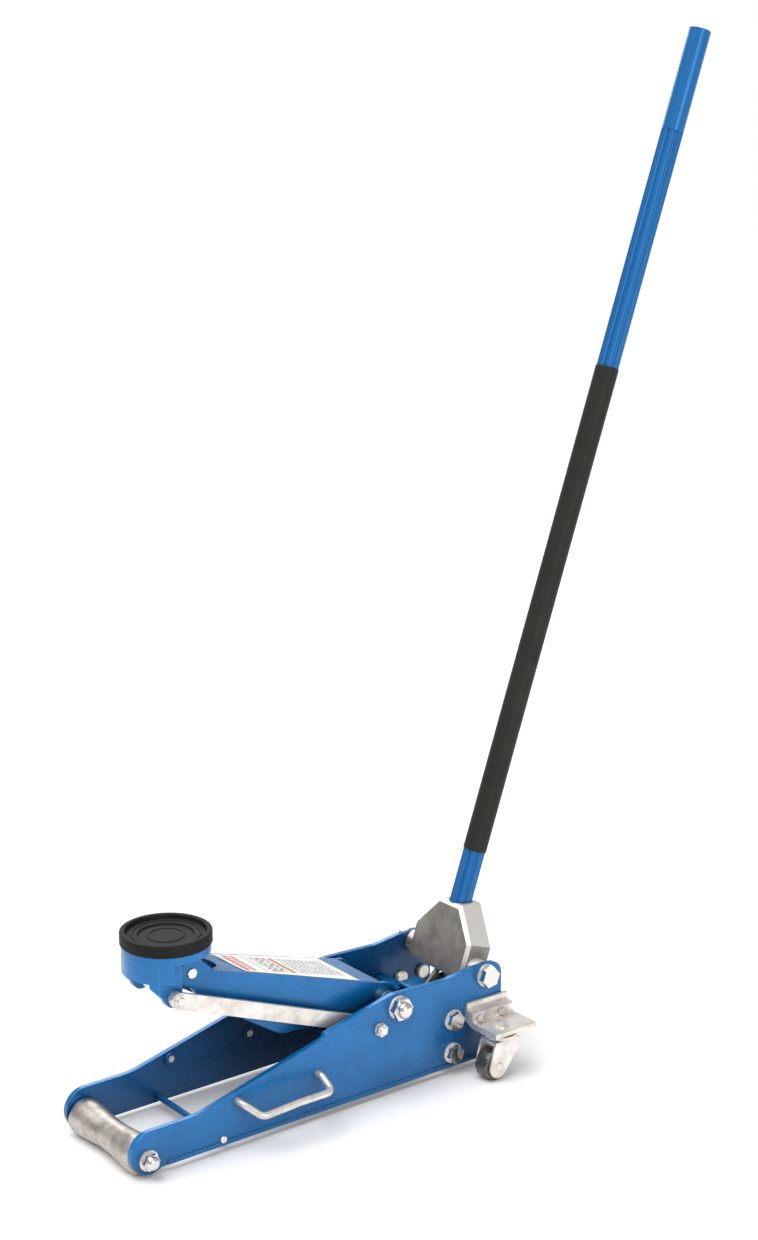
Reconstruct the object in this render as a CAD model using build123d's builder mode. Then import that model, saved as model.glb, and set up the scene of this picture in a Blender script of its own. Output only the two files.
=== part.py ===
from build123d import *
import os
from math import atan2, cos, degrees, hypot, radians, sin, tan

os.makedirs("parts", exist_ok=True)

# Frame: +Z up, the floor at Z = 0, +X towards the handle, Y = 0 the plane of symmetry.
# The origin is on the floor under the middle of the whole jack. -Y is called left.
fx = -413.4          # X of the front roller's axle; other X values are counted from it

# Side plates
plate_out = 70.0     # outer face, from the middle plane
plate_t = 7.0
plate_in = plate_out - plate_t
plate_low = 7.0      # height of the straight bottom edge
plate_rear = fx + 488.0
nose_x, nose_z, nose_r = fx + 3.5, 27.6, 24.4
lip_h, lip_t = 5.5, 1.5

# Hinge lines, all along Y: (X, Z)
axle = (fx, 20.6)
arm_pin = (fx + 333.7, 103.3)
saddle_pin_at = (fx + 84.5, 196.0)
bars_dx, bars_dz = -26.2, -19.6      # the parallel bars run this far from the arm's pins
bar_pin = (arm_pin[0] + bars_dx, arm_pin[1] + bars_dz)
rod_pin = (saddle_pin_at[0] + bars_dx, saddle_pin_at[1] + bars_dz)
socket_pin = (fx + 462.8, 108.5)
unit_bolts = [(fx + 413.7, 66.4), (fx + 412.9, 25.5)]
bracket_bolts = [(fx + 442.0, 66.6), (fx + 474.6, 66.6)]

# Saddle
pad_x, pad_r, pad_top, pad_h = fx + 72.3, 50.0, 239.4, 13.7
cup_r = 48.5

# Handle and its socket
tilt = 19.44         # degrees back from upright
handle_off = -3.0    # the handle's axis stands this far in front of the socket's pivot
tube_r, sleeve_r = 13.1, 13.95
sleeve_from, sleeve_to = 131.0, 721.0
joint_at, handle_top = 1006.0, 1128.0

# Casters
swivel_x, swivel_y = fx + 454.0, 108.0
wheel_x, wheel_r, wheel_w = fx + 441.5, 18.0, 20.0

# Hydraulics
cyl_tilt = 8.0       # degrees, front end up
cyl_at = (fx + 400.0, 31.0)
crank = (fx + 302.7, 44.9)
pump_y, pump_z = 13.0, 75.5

arm_len = hypot(saddle_pin_at[0] - arm_pin[0], saddle_pin_at[1] - arm_pin[1])
arm_angle = degrees(atan2(saddle_pin_at[1] - arm_pin[1], arm_pin[0] - saddle_pin_at[0]))


def save(name, part):
    part.label = name
    export_step(part, f"parts/{name}.step")


def side(y):
    """A plane facing -Y at this Y, with X to the right and Z up."""
    return Plane.XZ.offset(-y)


def lying(point, y):
    """A plane facing -Y with its origin at an (X, Z) point."""
    return Plane((point[0], y, point[1]), x_dir=(1, 0, 0), z_dir=(0, -1, 0))


# ---------------------------------------------------------------- side plates
with BuildPart() as side_plate_left:
    with BuildSketch(side(-plate_in)):
        with BuildLine():
            nose_end = (nose_x + (nose_r**2 - (nose_z - plate_low) ** 2) ** 0.5, plate_low)
            top = FilletPolyline(
                (nose_x, nose_z + nose_r), (fx + 62, 52), (fx + 228.5, 93.2), (fx + 234, 99.6),
                (fx + 327, 120.2), (fx + 404, 117.2), (fx + 440, 121.8), (plate_rear, 121.8),
                (plate_rear, plate_low), nose_end, radius=[110, 6, 6, 30, 60, 40, 16, 6])
            ThreePointArc(nose_end, (nose_x - nose_r, nose_z), top @ 0)
        make_face()
    extrude(amount=plate_t)
    chamfer(faces().sort_by(Axis.Y)[0].edges(), 1.0)
    with BuildSketch(side(-plate_out + 0.01)):
        with Locations(((fx + 24 + plate_rear - 6) / 2, plate_low + 0.8 + lip_h / 2)):
            Rectangle(plate_rear - 6 - fx - 24, lip_h - 0.8)
    extrude(amount=lip_t + 0.01)
    with BuildSketch(side(-plate_out)):
        with Locations((fx + 94.5, 15.0)):
            Circle(4.6)
    extrude(amount=3, mode=Mode.SUBTRACT)
    with BuildSketch(side(-plate_in + 1)):
        with Locations(axle):
            Circle(6.2)
        with Locations(arm_pin):
            Circle(8.15)
        with Locations(bar_pin):
            Circle(5.15)
        with Locations(socket_pin):
            Circle(7.15)
        with Locations(*unit_bolts):
            Circle(6.15)
        with Locations(*bracket_bolts):
            Circle(3.15)
        with Locations((fx + 94.5, 15.0)):
            Circle(2.15)
        with Locations((fx + 113.5, 54.5), (fx + 220.0, 55.7)):
            Circle(4.15)
    extrude(amount=plate_t + 4, mode=Mode.SUBTRACT)
save("side_plate_left", side_plate_left.part)

with BuildPart() as side_plate_right:
    mirror(side_plate_left.part, about=Plane.XZ)
save("side_plate_right", side_plate_right.part)

# ---------------------------------------------------------------- front axle and roller
with BuildPart() as front_axle:
    with BuildSketch(lying(axle, 76)):
        Circle(6)
    extrude(amount=152)
    chamfer(edges().filter_by(GeomType.CIRCLE), 0.8)
save("front_axle", front_axle.part)

with BuildPart() as front_axle_washers:
    for y in (plate_out + 2, -plate_out):
        with BuildSketch(lying(axle, y)):
            Circle(11.5)
            Circle(6.15, mode=Mode.SUBTRACT)
        extrude(amount=2)
save("front_axle_washers", front_axle_washers.part)

with BuildPart() as front_axle_nuts:
    with BuildSketch(lying(axle, -plate_out - 2)):
        RegularPolygon(8.5, 6, major_radius=False)
    extrude(amount=6.5)
    with BuildSketch(lying(axle, -plate_out - 8.5)) as dome:
        Circle(7.6)
    extrude(amount=5.5)
    fillet(edges().filter_by(GeomType.CIRCLE).sort_by(Axis.Y)[0], 4.5)
    with BuildSketch(lying(axle, -plate_out - 2)):
        Circle(6.1)
    extrude(amount=4.4, mode=Mode.SUBTRACT)
    mirror(about=Plane.XZ)
save("front_axle_nuts", front_axle_nuts.part)

with BuildPart() as front_roller:
    with BuildSketch(Plane.XY.offset(axle[1])):
        with BuildLine():
            rim = Line((axle[0] + 6.05, 61.5), (axle[0] + 19.1, 61.5))
            bevel = Line(rim @ 1, (axle[0] + 20.6, 60))
            drum = Line(bevel @ 1, (axle[0] + 20.6, 50))
            waist = Spline(drum @ 1, (axle[0] + 17.0, 0), (axle[0] + 20.6, -50),
                           tangents=((0, -1), (0, -1)))
            drum2 = Line(waist @ 1, (axle[0] + 20.6, -60))
            bevel2 = Line(drum2 @ 1, (axle[0] + 19.1, -61.5))
            rim2 = Line(bevel2 @ 1, (axle[0] + 6.05, -61.5))
            Line(rim2 @ 1, rim @ 0)
        make_face()
    revolve(axis=Axis((axle[0], 0, axle[1]), (0, 1, 0)))
save("front_roller", front_roller.part)

# ---------------------------------------------------------------- tie rod between the plates
with BuildPart() as tie_rod:
    with BuildSketch(lying((fx + 94.5, 15.0), plate_in - 0.1)):
        Circle(3.6)
    extrude(amount=2 * plate_in - 0.2)
    for y in (plate_in, -plate_in + 16):
        with BuildSketch(lying((fx + 94.5, 15.0), y)):
            Circle(2.05)
        extrude(amount=16, mode=Mode.SUBTRACT)
save("tie_rod", tie_rod.part)

with BuildPart() as tie_rod_screws:
    with BuildSketch(lying((fx + 94.5, 15.0), -plate_out)):
        Circle(4.2)
    extrude(amount=2.6)
    fillet(edges().filter_by(GeomType.CIRCLE).sort_by(Axis.Y)[0], 1.6)
    with BuildSketch(lying((fx + 94.5, 15.0), -plate_out + 20)):
        Circle(2)
    extrude(amount=20)
    mirror(about=Plane.XZ)
save("tie_rod_screws", tie_rod_screws.part)

# ---------------------------------------------------------------- carry handles
with BuildPart() as carry_handle_left:
    with BuildLine() as grip:
        FilletPolyline(
            (fx + 113.5, -60.5, 54.5), (fx + 113.5, -79, 54.5), (fx + 127, -99, 42.8),
            (fx + 176, -101, 46.5), (fx + 219.5, -99.5, 45.2), (fx + 220, -78, 55.7),
            (fx + 220.0, -60.5, 55.7), radius=[14, 11, 60, 9, 8])
    with BuildSketch(Plane(grip.line @ 0, z_dir=grip.line % 0)):
        Circle(4)
    sweep()
save("carry_handle_left", carry_handle_left.part)

with BuildPart() as carry_handle_right:
    mirror(carry_handle_left.part, about=Plane.XZ)
save("carry_handle_right", carry_handle_right.part)

with BuildPart() as carry_handle_nuts:
    for at in ((fx + 113.5, 54.5), (fx + 220.0, 55.7)):
        with BuildSketch(lying(at, -plate_in + 3)):
            Circle(8)
            Circle(4.15, mode=Mode.SUBTRACT)
        extrude(amount=3)
    mirror(about=Plane.XZ)
save("carry_handle_nuts", carry_handle_nuts.part)

# ---------------------------------------------------------------- caster brackets
bracket_from, bracket_to = fx + 432.0, fx + 492.0
with BuildPart() as caster_bracket_left:
    # section: a lipped head against the plate, a web, and a shelf for the caster
    with BuildSketch(Plane((bracket_from, -plate_out, 0), x_dir=(0, -1, 0), z_dir=(-1, 0, 0))):
        with BuildLine():
            FilletPolyline(
                (0, 60), (0, 82), (4.5, 82), (5.2, 75.6), (3.2, 72.2), (7, 74.2), (15.5, 72.6),
                (15, 61.6), (56, 61.6), (56, 55.2), (50, 54), (14, 54),
                radius=[0, 0.6, 1.2, 1.5, 0.8, 2, 2.5, 3, 1.2, 1.2, 3, 3], close=True)
        make_face()
    extrude(amount=-(bracket_to - bracket_from))
    with BuildSketch(side(-plate_out + 1)):
        with Locations(*bracket_bolts):
            Circle(3.15)
    extrude(amount=20, mode=Mode.SUBTRACT)
    with BuildSketch(Plane.XY.offset(50)):
        with Locations((swivel_x, -swivel_y)):
            Circle(5.15)
    extrude(amount=15, mode=Mode.SUBTRACT)
save("caster_bracket_left", caster_bracket_left.part)

with BuildPart() as caster_bracket_right:
    mirror(caster_bracket_left.part, about=Plane.XZ)
save("caster_bracket_right", caster_bracket_right.part)

bracket_face = plate_out + 15.3      # about where the nuts bear on the web
with BuildPart() as caster_bracket_bolts:
    with BuildSketch(side(-plate_in + 5)):
        with Locations(*bracket_bolts):
            Circle(8.4)
    extrude(amount=5)
    fillet(edges().filter_by(GeomType.CIRCLE).group_by(Axis.Y)[-1], 1.8)
    with BuildSketch(side(-plate_in)):
        with Locations(*bracket_bolts):
            Circle(3)
    extrude(amount=bracket_face + 6.5 - plate_in)
    mirror(about=Plane.XZ)
save("caster_bracket_bolts", caster_bracket_bolts.part)

with BuildPart() as caster_bracket_nuts:
    for at in bracket_bolts:
        with BuildSketch(lying(at, -bracket_face - 1.0)):
            RegularPolygon(4.2, 6, rotation=30, major_radius=False)
            Circle(3.1, mode=Mode.SUBTRACT)
        extrude(amount=4.6)
    mirror(about=Plane.XZ)
save("caster_bracket_nuts", caster_bracket_nuts.part)

# ---------------------------------------------------------------- casters
race_z = 49.2        # underside of the fixed race
with BuildPart() as caster_stems:
    with BuildSketch(Plane.XY.offset(race_z)):
        with Locations((swivel_x, -swivel_y)):
            Circle(19.5)
    extrude(amount=54 - race_z)
    fillet(edges().filter_by(GeomType.CIRCLE).sort_by(Axis.Z)[0], 2.4)
    with BuildSketch(Plane.XY.offset(43)):
        with Locations((swivel_x, -swivel_y)):
            Circle(5)
    extrude(amount=23.6)
    with BuildSketch(Plane.XY.offset(41)):
        with Locations((swivel_x, -swivel_y)):
            Circle(8)
    extrude(amount=2.4)
    mirror(about=Plane.XZ)
save("caster_stems", caster_stems.part)

with BuildPart() as caster_nuts:
    with BuildSketch(Plane.XY.offset(61.6)):
        with Locations((swivel_x, -swivel_y)):
            Circle(9.5)
            Circle(5.1, mode=Mode.SUBTRACT)
    extrude(amount=1.6)
    with BuildSketch(Plane.XY.offset(63.2)):
        with Locations((swivel_x, -swivel_y)):
            RegularPolygon(7, 6, major_radius=False)
            Circle(5.1, mode=Mode.SUBTRACT)
    extrude(amount=3)
    mirror(about=Plane.XZ)
save("caster_nuts", caster_nuts.part)

fork_out, fork_t, fork_top = 13.4, 2.6, 48.2
with BuildPart() as caster_fork_left:
    with BuildSketch(lying((0, 0), -swivel_y + fork_out)):
        with BuildLine():
            down = Line((swivel_x + 17.5, fork_top), (swivel_x + 17.5, 36))
            slope = Line(down @ 1, (wheel_x + 12.2, 13.5))
            lobe = ThreePointArc(slope @ 1, (wheel_x + 1, wheel_r - 13.4), (wheel_x - 13.2, 20.5))
            up = Line(lobe @ 1, (swivel_x - 19.5, 43))
            top = Line(up @ 1, (swivel_x - 17.5, fork_top))
            Line(top @ 1, down @ 0)
        make_face()
    extrude(amount=2 * fork_out)
    with BuildSketch(lying((0, 0), -swivel_y + fork_out - fork_t)):
        with Locations((swivel_x, 0)):
            Rectangle(80, 2 * (fork_top - 2.8))
    extrude(amount=2 * (fork_out - fork_t), mode=Mode.SUBTRACT)
    with BuildSketch(Plane.XY.offset(30)):
        with Locations((swivel_x, -swivel_y)):
            Circle(5.08)
    extrude(amount=30, mode=Mode.SUBTRACT)
    with BuildSketch(lying((wheel_x, wheel_r), -swivel_y + 20)):
        Circle(3.05)
    extrude(amount=40, mode=Mode.SUBTRACT)
save("caster_fork_left", caster_fork_left.part)

with BuildPart() as caster_wheel_left:
    with BuildSketch(lying((wheel_x, wheel_r), -swivel_y + wheel_w / 2)):
        Circle(wheel_r)
    extrude(amount=wheel_w)
    fillet(edges().filter_by(GeomType.CIRCLE), 2.2)
    for y in (-swivel_y + wheel_w / 2, -swivel_y - wheel_w / 2 + 3):
        with BuildSketch(lying((wheel_x, wheel_r), y)):
            Circle(13)
            Circle(6.5, mode=Mode.SUBTRACT)
        extrude(amount=3, mode=Mode.SUBTRACT)
    with BuildSketch(lying((wheel_x, wheel_r), -swivel_y + wheel_w)):
        Circle(3.05)
    extrude(amount=2 * wheel_w, mode=Mode.SUBTRACT)
save("caster_wheel_left", caster_wheel_left.part)

with BuildPart() as caster_axle_left:
    with BuildSketch(lying((wheel_x, wheel_r), -swivel_y + fork_out)):
        Circle(3)
    extrude(amount=2 * fork_out)
    for y in (-swivel_y + fork_out + 1.8, -swivel_y - fork_out):
        with BuildSketch(lying((wheel_x, wheel_r), y)):
            Circle(5.2)
        extrude(amount=1.8)
    chamfer(edges().filter_by(GeomType.CIRCLE).group_by(Axis.Y)[0], 0.9)
    chamfer(edges().filter_by(GeomType.CIRCLE).group_by(Axis.Y)[-1], 0.9)
save("caster_axle_left", caster_axle_left.part)

for name, twin in (("caster_fork", caster_fork_left), ("caster_wheel", caster_wheel_left),
                   ("caster_axle", caster_axle_left)):
    with BuildPart() as opposite:
        mirror(twin.part, about=Plane.XZ)
    save(f"{name}_right", opposite.part)

# ---------------------------------------------------------------- hydraulic unit
cyl_dir = Vector(-cos(radians(cyl_tilt)), 0, sin(radians(cyl_tilt)))
cyl_plane = Plane((cyl_at[0], 0, cyl_at[1]), x_dir=(0, 1, 0), z_dir=cyl_dir)
release_dir = Vector(-32.8, 0, -28.5).normalized()
release_plane = Plane((socket_pin[0], 0, socket_pin[1]), x_dir=(0, 1, 0), z_dir=release_dir)

with BuildPart() as power_unit:
    with BuildSketch(side(32)):
        with BuildLine():
            FilletPolyline((fx + 388, 10), (fx + 388, 70), (fx + 394, 78), (fx + 437, 78),
                           (fx + 437, 10), radius=[4, 5, 4, 3, 4], close=True)
        make_face()
    extrude(amount=64)
    with BuildSketch(side(20)):
        with BuildLine():
            FilletPolyline((fx + 404, 70), (fx + 406, 84), (fx + 437, 84), (fx + 437, 70),
                           radius=[0, 3, 3, 0], close=True)
        make_face()
    extrude(amount=40)
    for at in unit_bolts:
        with BuildSketch(lying(at, plate_in - 0.2)):
            Circle(11.5)
        extrude(amount=2 * plate_in - 0.4)
    for y in (pump_y, -pump_y):
        with BuildSketch(Plane((fx + 430, y, pump_z), x_dir=(0, 1, 0), z_dir=(1, 0, 0))):
            Circle(7.5)
        extrude(amount=7)
        with BuildSketch(Plane((fx + 396, y, pump_z), x_dir=(0, 1, 0), z_dir=(1, 0, 0))):
            Circle(4.55)
        extrude(amount=60, mode=Mode.SUBTRACT)
    for y in (plate_in, -plate_in + 22):
        for at in unit_bolts:
            with BuildSketch(lying(at, y)):
                Circle(6.05)
            extrude(amount=22, mode=Mode.SUBTRACT)
    with BuildSketch(cyl_plane.offset(-60)):
        Circle(22.1)
    extrude(amount=90, mode=Mode.SUBTRACT)
    with BuildSketch(release_plane.offset(20)):
        Circle(3.6)
    extrude(amount=42, mode=Mode.SUBTRACT)
save("power_unit", power_unit.part)

with BuildPart() as power_unit_washers:
    for at in unit_bolts:
        with BuildSketch(lying(at, -plate_out)):
            Circle(12.2)
            Circle(6.15, mode=Mode.SUBTRACT)
        extrude(amount=2.2)
    mirror(about=Plane.XZ)
save("power_unit_washers", power_unit_washers.part)

with BuildPart() as power_unit_bolts:
    for at in unit_bolts:
        with BuildSketch(lying(at, -plate_out - 2.2)):
            RegularPolygon(9.5, 6, rotation=12, major_radius=False)
        extrude(amount=7.5)
        with BuildSketch(lying(at, -plate_in + 20)):
            Circle(6)
        extrude(amount=20 + plate_t + 2.2)
    mirror(about=Plane.XZ)
save("power_unit_bolts", power_unit_bolts.part)

cyl_front = 44.0     # the tube's front end, along its axis from cyl_at
with BuildPart() as cylinder:
    with BuildSketch(cyl_plane.offset(-34)):
        Circle(22)
    extrude(amount=34 + cyl_front)
    with BuildSketch(cyl_plane.offset(-31.5)):
        Circle(16.2)
    extrude(amount=80, mode=Mode.SUBTRACT)
save("cylinder", cylinder.part)

with BuildPart() as cylinder_gland:
    with BuildSketch(cyl_plane.offset(cyl_front - 6)):
        Circle(16.1)
        Circle(11.08, mode=Mode.SUBTRACT)
    extrude(amount=6)
    with BuildSketch(cyl_plane.offset(cyl_front)):
        Circle(20)
        Circle(11.08, mode=Mode.SUBTRACT)
    extrude(amount=2)
save("cylinder_gland", cylinder_gland.part)

# The ram's flat pad bears on the roller that the arm's crank carries. Mid-travel the pad
# stands up to five millimetres off the roller, where the real pair would be turned together.
roller_r = 11.0
pad_face = (Vector(crank[0], 0, crank[1]) - cyl_plane.origin).dot(cyl_dir) - roller_r - 4.2
with BuildPart() as ram:
    with BuildSketch(cyl_plane.offset(1.8)):
        Circle(16.05)
    extrude(amount=5)
    with BuildSketch(cyl_plane.offset(6)):
        Circle(11)
    extrude(amount=pad_face - 4 - 6)
    with BuildSketch(cyl_plane.offset(pad_face - 4)):
        RectangleRounded(26, 38, 4)
    extrude(amount=4)
save("ram", ram.part)

# Pump pistons with their return springs
piston_end = fx + 469.0
with BuildPart() as pump_pistons:
    for y in (pump_y, -pump_y):
        with BuildSketch(Plane((fx + 432, y, pump_z), x_dir=(0, 1, 0), z_dir=(1, 0, 0))):
            Circle(4.5)
        extrude(amount=piston_end - fx - 432 - 4)
        with BuildSketch(Plane((piston_end - 4, y, pump_z), x_dir=(0, 1, 0), z_dir=(1, 0, 0))):
            Circle(7.5)
        extrude(amount=4)
save("pump_pistons", pump_pistons.part)

with BuildPart() as pump_springs:
    for y in (pump_y, -pump_y):
        with BuildLine() as coil:
            Helix(pitch=3.6, height=25.2, radius=6.2, center=(fx + 438, y, pump_z), direction=(1, 0, 0))
        with BuildSketch(Plane(coil.line @ 0, z_dir=coil.line % 0)):
            Circle(0.8)
        sweep(is_frenet=True)
save("pump_springs", pump_springs.part)

# ---------------------------------------------------------------- lift arm
rise = tan(radians(17.2))            # slope of the arm's top plate


def arm_top(x):
    """Height of the top plate's upper face at this distance behind the front axle."""
    return 181.0 - rise * (x - 150.0)


def half_width(x):
    """Half the arm's outer width at this distance behind the front axle."""
    return 31.0 + (x - 84.5) * 14.0 / 246.5


flare = degrees(atan2(14.0, 246.5))
cheek_t = 5.0
cheek_plane = Plane((fx + 84.5, -31.0, 0), x_dir=(cos(radians(flare)), -sin(radians(flare)), 0),
                    z_dir=(-sin(radians(flare)), -cos(radians(flare)), 0))
with BuildPart() as lift_arm:
    # the left cheek is drawn on its own flared plane, counted from the saddle pin
    with BuildSketch(cheek_plane.offset(-cheek_t)):
        with BuildLine():
            boss_top = (7.6, 196.0 + 13.4)
            rear_top = (246.5, arm_top(331.0))
            rear_low = (249.0, 86.5)
            nose = ThreePointArc((-6.0, 181.8), (-15.4, 196.0), boss_top)
            dip = TangentArc(nose @ 1, (27.0, arm_top(111.5)), tangent=nose % 1)
            over = Line(dip @ 1, rear_top)
            heel = ThreePointArc(over @ 1, (266.3, 103.3), rear_low)
            under = Line(heel @ 1, (126.0, 97.5))
            toe = ThreePointArc(under @ 1, (113.0, 97.8), (101.0, 103.5))
            belly = Line(toe @ 1, (14.0, 158.5))
            chin = Spline(belly @ 1, nose @ 0, tangents=(belly % 1, nose % 0))
        make_face()
    extrude(amount=cheek_t)
    mirror(about=Plane.XZ)
    # top plate between the cheeks
    top_plane = Plane((fx + 331.0, 0, arm_top(331.0)), x_dir=(-cos(radians(17.2)), 0, sin(radians(17.2))),
                      z_dir=(sin(radians(17.2)), 0, cos(radians(17.2))))
    plate_len = (331.0 - 116.0) / cos(radians(17.2))
    with BuildSketch(top_plane.offset(-cheek_t)):
        with BuildLine():
            Polyline((0, half_width(331.0) - 2), (plate_len, half_width(116.0) - 2),
                     (plate_len, -half_width(116.0) + 2), (0, -half_width(331.0) + 2), close=True)
        make_face()
        with Locations((plate_len + 8, 0)):
            Circle(24, mode=Mode.SUBTRACT)
    extrude(amount=cheek_t)
    with BuildSketch(lying(arm_pin, 60)):
        Circle(13.05)
    extrude(amount=120, mode=Mode.SUBTRACT)
    with BuildSketch(lying(saddle_pin_at, 60)):
        Circle(6.04)
    extrude(amount=120, mode=Mode.SUBTRACT)
save("lift_arm", lift_arm.part)

with BuildPart() as arm_sleeve:
    with BuildSketch(lying(arm_pin, 52)):
        Circle(13)
        Circle(8.05, mode=Mode.SUBTRACT)
    extrude(amount=104)
save("arm_sleeve", arm_sleeve.part)

# Two crank plates inside the arm carry the roller that the ram pushes
with BuildPart() as crank_plates:
    for y in (20.5, -14.5):
        with BuildSketch(lying((0, 0), y)):
            with BuildLine():
                low = ThreePointArc((crank[0] - 11.0, crank[1] + 4.8), (crank[0] + 2, crank[1] - 11.8),
                                    (crank[0] + 11.4, crank[1] + 3.8))
                back = Line(low @ 1, (arm_pin[0] + 14.5, arm_pin[1] - 10))
                heel = ThreePointArc(back @ 1, (arm_pin[0] + 17, arm_pin[1] + 3),
                                     (arm_pin[0] + 6, arm_pin[1] + 14.5))
                Polyline(heel @ 1, (fx + 330, arm_top(330.0) - 6), (fx + 262, arm_top(262.0) - 6),
                         (fx + 262, 112), low @ 0)
            make_face()
        extrude(amount=6)
    with BuildSketch(lying(arm_pin, 60)):
        Circle(13.05)
    extrude(amount=120, mode=Mode.SUBTRACT)
    with BuildSketch(lying(crank, 60)):
        Circle(5.05)
    extrude(amount=120, mode=Mode.SUBTRACT)
save("crank_plates", crank_plates.part)

with BuildPart() as crank_pin:
    with BuildSketch(lying(crank, 34.5)):
        Circle(5)
    extrude(amount=69)
    chamfer(edges().filter_by(GeomType.CIRCLE), 0.6)
save("crank_pin", crank_pin.part)

with BuildPart() as crank_roller:
    with BuildSketch(lying(crank, 14.0)):
        Circle(roller_r)
        Circle(5.06, mode=Mode.SUBTRACT)
    extrude(amount=28)
save("crank_roller", crank_roller.part)

with BuildPart() as arm_label:
    with BuildSketch(top_plane.offset(0.03)):
        with BuildLine():
            Polyline(((331.0 - 301.0) / cos(radians(17.2)), 41.0), (184.0, 30.0), (192.0, -30.0),
                     ((331.0 - 301.0) / cos(radians(17.2)), -41.0), close=True)
        make_face()
    extrude(amount=0.25)
save("arm_label", arm_label.part)

with BuildPart() as return_springs:
    for y in (31.0, -31.0):
        with BuildLine() as coil:
            Helix(pitch=3.4, height=72.0, radius=4.2, center=(crank[0] + 6.2, y, crank[1]), direction=(1, 0, 0))
        with BuildSketch(Plane(coil.line @ 0, z_dir=coil.line % 0)):
            Circle(0.9)
        sweep(is_frenet=True)
save("return_springs", return_springs.part)

# ---------------------------------------------------------------- arm pivot shaft
with BuildPart() as arm_pivot_shaft:
    with BuildSketch(lying(arm_pin, 84)):
        Circle(8)
    extrude(amount=168)
    chamfer(edges().filter_by(GeomType.CIRCLE), 1)
save("arm_pivot_shaft", arm_pivot_shaft.part)

with BuildPart() as arm_pivot_spacers:
    with BuildSketch(lying(arm_pin, -52.3)):
        Circle(12)
        Circle(8.1, mode=Mode.SUBTRACT)
    extrude(amount=plate_in - 52.4)
    mirror(about=Plane.XZ)
save("arm_pivot_spacers", arm_pivot_spacers.part)

with BuildPart() as arm_pivot_washers:
    with BuildSketch(lying(arm_pin, -plate_out)):
        Circle(14)
        Circle(8.15, mode=Mode.SUBTRACT)
    extrude(amount=2.4)
    fillet(edges().filter_by(GeomType.CIRCLE).sort_by(Axis.Y)[0], 0.8)
    mirror(about=Plane.XZ)
save("arm_pivot_washers", arm_pivot_washers.part)

with BuildPart() as arm_pivot_nuts:
    with BuildSketch(lying(arm_pin, -plate_out - 2.4)):
        RegularPolygon(12, 6, major_radius=False)
    extrude(amount=8)
    with BuildSketch(lying(arm_pin, -plate_out - 10.4)):
        Circle(9.6)
    extrude(amount=8.6)
    fillet(edges().filter_by(GeomType.CIRCLE).sort_by(Axis.Y)[0], 6.5)
    with BuildSketch(lying(arm_pin, -plate_out - 2.4)):
        Circle(8.08)
    extrude(amount=11.7, mode=Mode.SUBTRACT)
    mirror(about=Plane.XZ)
save("arm_pivot_nuts", arm_pivot_nuts.part)

# ---------------------------------------------------------------- parallel link bars
bar_h, bar_t = 18.4, 5.0
bar_front, bar_rear = 45.0, 54.5     # middle of the bar's thickness at its two ends
bar_plane = Plane((rod_pin[0], 0, rod_pin[1]),
                  x_dir=(cos(radians(arm_angle)), 0, -sin(radians(arm_angle))),
                  z_dir=(sin(radians(arm_angle)), 0, cos(radians(arm_angle))))
with BuildPart() as link_bar_left:
    with BuildSketch(bar_plane.offset(-bar_h / 2)):
        with BuildLine() as run:
            FilletPolyline((-bar_h / 2, -bar_front), (24, -bar_front), (arm_len - 24, -bar_rear),
                           (arm_len + bar_h / 2, -bar_rear), radius=6)
        trace(run.line, line_width=bar_t)
    extrude(amount=bar_h)
    eye_plane = Plane((rod_pin[0], 0, rod_pin[1]),
                      x_dir=(cos(radians(arm_angle)), 0, -sin(radians(arm_angle))),
                      z_dir=(0, -1, 0))
    with BuildSketch(eye_plane):
        with Locations((arm_len / 2, 0)):
            SlotCenterToCenter(arm_len, bar_h)
    extrude(amount=80, mode=Mode.INTERSECT)
    with BuildSketch(eye_plane):
        Circle(5.06)
        with Locations((arm_len, 0)):
            Circle(5.06)
    extrude(amount=80, mode=Mode.SUBTRACT)
save("link_bar_left", link_bar_left.part)

with BuildPart() as link_bar_right:
    mirror(link_bar_left.part, about=Plane.XZ)
save("link_bar_right", link_bar_right.part)

with BuildPart() as link_pivot_bolts:
    with BuildSketch(lying(bar_pin, -48.2)):
        Circle(8)
    extrude(amount=3.5)
    with BuildSketch(lying(bar_pin, -51.7)):
        Circle(5)
    extrude(amount=plate_out + 9.4 - 51.7)
    chamfer(edges().filter_by(GeomType.CIRCLE).sort_by(Axis.Y)[0], 1)
    mirror(about=Plane.XZ)
save("link_pivot_bolts", link_pivot_bolts.part)

with BuildPart() as link_pivot_nuts:
    with BuildSketch(lying(bar_pin, -plate_out)):
        Circle(7.6)
        Circle(5.12, mode=Mode.SUBTRACT)
    extrude(amount=1.4)
    with BuildSketch(lying(bar_pin, -plate_out - 1.4)):
        RegularPolygon(6.6, 6, rotation=15, major_radius=False)
        Circle(5.12, mode=Mode.SUBTRACT)
    extrude(amount=5.2)
    with BuildSketch(lying(bar_pin, -57.3)):
        Circle(8)
        Circle(5.12, mode=Mode.SUBTRACT)
    extrude(amount=plate_in - 57.4)
    mirror(about=Plane.XZ)
save("link_pivot_nuts", link_pivot_nuts.part)

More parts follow.
